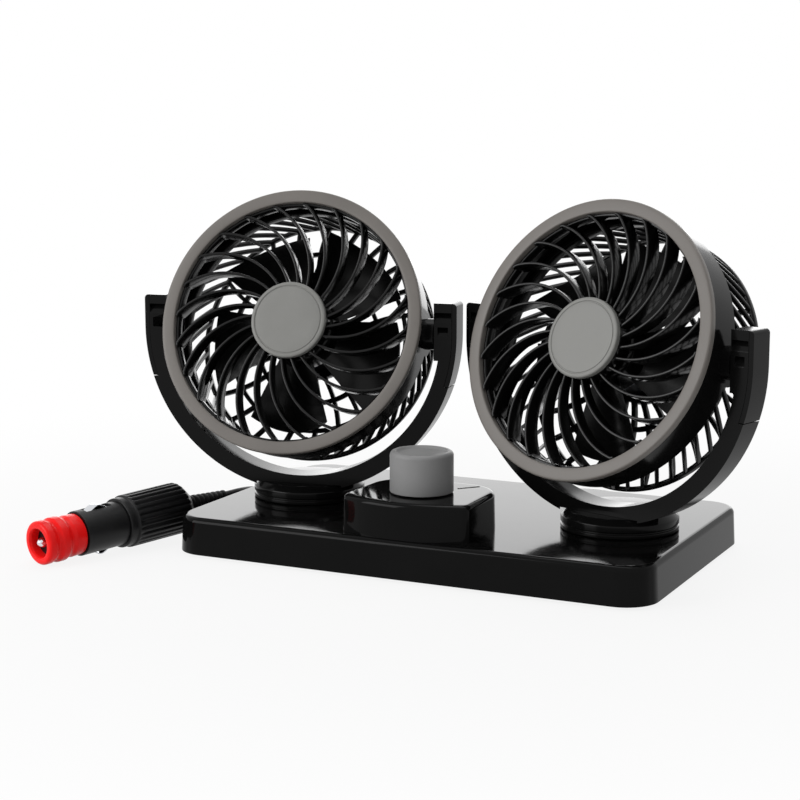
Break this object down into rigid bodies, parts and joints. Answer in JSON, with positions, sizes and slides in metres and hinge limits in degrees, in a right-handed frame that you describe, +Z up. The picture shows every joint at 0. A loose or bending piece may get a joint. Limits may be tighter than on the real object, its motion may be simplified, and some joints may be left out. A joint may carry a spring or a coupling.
{
  "type": "dual head car fan",
  "caption": "Dual head car fan: tilting, swivelling fan heads in yokes on a low black base with a speed knob, and a lead to a lighter plug with a red ring.",
  "frame": {"origin": "on the floor under the middle of the base", "axes": "+X along the base's length, to the right seen from the fans' faces' side; -Y the way the fans face; +Z up"},
  "size_m": [0.3047, 0.2462, 0.1585],
  "materials": {
    "base_gloss": "glossy black",
    "pod_gloss": "glossy black",
    "plate_matte": "matte black",
    "pad_rubber": "soft matte black",
    "screw_steel": "plain steel",
    "resistor_ceramic": "off-white ceramic",
    "switch_plastic": "matte black",
    "switch_brass": "plated brass",
    "knob_grey": "satin grey",
    "yoke_gloss": "glossy black",
    "yoke_back_matte": "matte black",
    "washer_nylon": "natural nylon",
    "barrel_gloss": "glossy black",
    "bezel_satin": "warm grey satin paint",
    "grille_gloss": "glossy black",
    "disc_satin": "grey satin paint",
    "cage_gloss": "glossy black",
    "motor_can": "zinc-plated steel",
    "rotor_gloss": "glossy black",
    "lead_pvc": "black cable sheath",
    "relief_pvc": "moulded black",
    "tie_hook": "black hook tape",
    "plug_black": "black plastic",
    "plug_red": "red plastic",
    "contact_chrome": "nickel plate",
    "spring_steel": "spring steel",
    "fuse_glass": "clear glass"
  },
  "bodies": {
    "base": {"base_cover": "base_gloss", "base_plate": "plate_matte", "base_pad": "pad_rubber", "base_screws": "screw_steel", "speed_resistor": "resistor_ceramic", "control_pod": "pod_gloss", "switch_body": "switch_plastic", "switch_nut": "switch_brass", "cord_gland": "relief_pvc", "cord_lead": "lead_pvc", "cord_coil": "lead_pvc", "coil_tie": "tie_hook", "cord_run": "lead_pvc", "plug_strain_relief": "relief_pvc", "plug_handle": "plug_black", "plug_body": "plug_black", "plug_spring": "spring_steel"},
    "knob": {"knob": "knob_grey", "switch_shaft": "switch_brass"},
    "plug_tip": {"plug_tip": "contact_chrome", "plug_fuse": "fuse_glass"},
    "plug_ring": {"plug_ring": "plug_red"},
    "plug_contact_upper": {"plug_contact_upper": "contact_chrome"},
    "plug_contact_lower": {"plug_contact_lower": "contact_chrome"},
    "left_yoke": {"left_turntable": "yoke_gloss", "left_friction_washer": "washer_nylon", "left_swivel_clip": "screw_steel", "left_yoke": "yoke_gloss", "left_yoke_back": "yoke_back_matte", "left_pivot_covers": "yoke_gloss", "left_pivot_pins": "screw_steel"},
    "left_head": {"left_barrel": "barrel_gloss", "left_bezel": "bezel_satin", "left_grille": "grille_gloss", "left_hub_disc": "disc_satin", "left_rear_cage": "cage_gloss", "left_motor": "motor_can"},
    "left_rotor": {"left_motor_shaft": "screw_steel", "left_rotor": "rotor_gloss"},
    "right_yoke": {"right_turntable": "yoke_gloss", "right_friction_washer": "washer_nylon", "right_swivel_clip": "screw_steel", "right_yoke": "yoke_gloss", "right_yoke_back": "yoke_back_matte", "right_pivot_covers": "yoke_gloss", "right_pivot_pins": "screw_steel"},
    "right_head": {"right_barrel": "barrel_gloss", "right_bezel": "bezel_satin", "right_grille": "grille_gloss", "right_hub_disc": "disc_satin", "right_rear_cage": "cage_gloss", "right_motor": "motor_can"},
    "right_rotor": {"right_motor_shaft": "screw_steel", "right_rotor": "rotor_gloss"}
  },
  "joints": [
    {"name": "left_swivel", "type": "hinge", "parent": "base", "child": "left_yoke", "pos_m": [-0.0756, -0.0017, 0.09595], "axis": [0, 0, 1], "range_deg": [-180.2, 159.8]},
    {"name": "left_tilt", "type": "hinge", "parent": "left_yoke", "child": "left_head", "pos_m": [-0.07387, -0.01132, 0.09595], "axis": [-0.9842, -0.1771, 0], "range_deg": [-65, 70]},
    {"name": "left_spin", "type": "hinge", "parent": "left_head", "child": "left_rotor", "pos_m": [-0.07387, -0.01132, 0.09595], "axis": [0.1664, -0.9248, 0.342], "continuous": true},
    {"name": "right_swivel", "type": "hinge", "parent": "base", "child": "right_yoke", "pos_m": [0.0756, -0.0017, 0.09595], "axis": [0, 0, 1], "range_deg": [-153.5, 186.5]},
    {"name": "right_tilt", "type": "hinge", "parent": "right_yoke", "child": "right_head", "pos_m": [0.07282, -0.01108, 0.09595], "axis": [-0.9588, 0.284, 0], "range_deg": [-65, 70]},
    {"name": "right_spin", "type": "hinge", "parent": "right_head", "child": "right_rotor", "pos_m": [0.07282, -0.01108, 0.09595], "axis": [-0.2669, -0.901, 0.342], "continuous": true},
    {"name": "knob_turn", "type": "hinge", "parent": "base", "child": "knob", "pos_m": [0, -0.0406, 0.045], "axis": [0, 0, -1], "range_deg": [0, 90]},
    {"name": "tip_press", "type": "slide", "parent": "base", "child": "plug_tip", "axis": [0.3301, 0.9426, 0.0497], "range_m": [0, 0.0025], "stiffness_N_per_m": 700, "springref_m": -0.003, "deforming": ["plug_spring"]},
    {"name": "ring_pull", "type": "slide", "parent": "base", "child": "plug_ring", "axis": [-0.3301, -0.9426, -0.0497], "range_m": [0, 0.022]},
    {"name": "upper_contact_press", "type": "slide", "parent": "base", "child": "plug_contact_upper", "axis": [0.0164, 0.0469, -0.9988], "range_m": [0, 0.0016], "stiffness_N_per_m": 500, "springref_m": -0.002},
    {"name": "lower_contact_press", "type": "slide", "parent": "base", "child": "plug_contact_lower", "axis": [-0.0164, -0.0469, 0.9988], "range_m": [0, 0.0016], "stiffness_N_per_m": 500, "springref_m": -0.002}
  ]
}
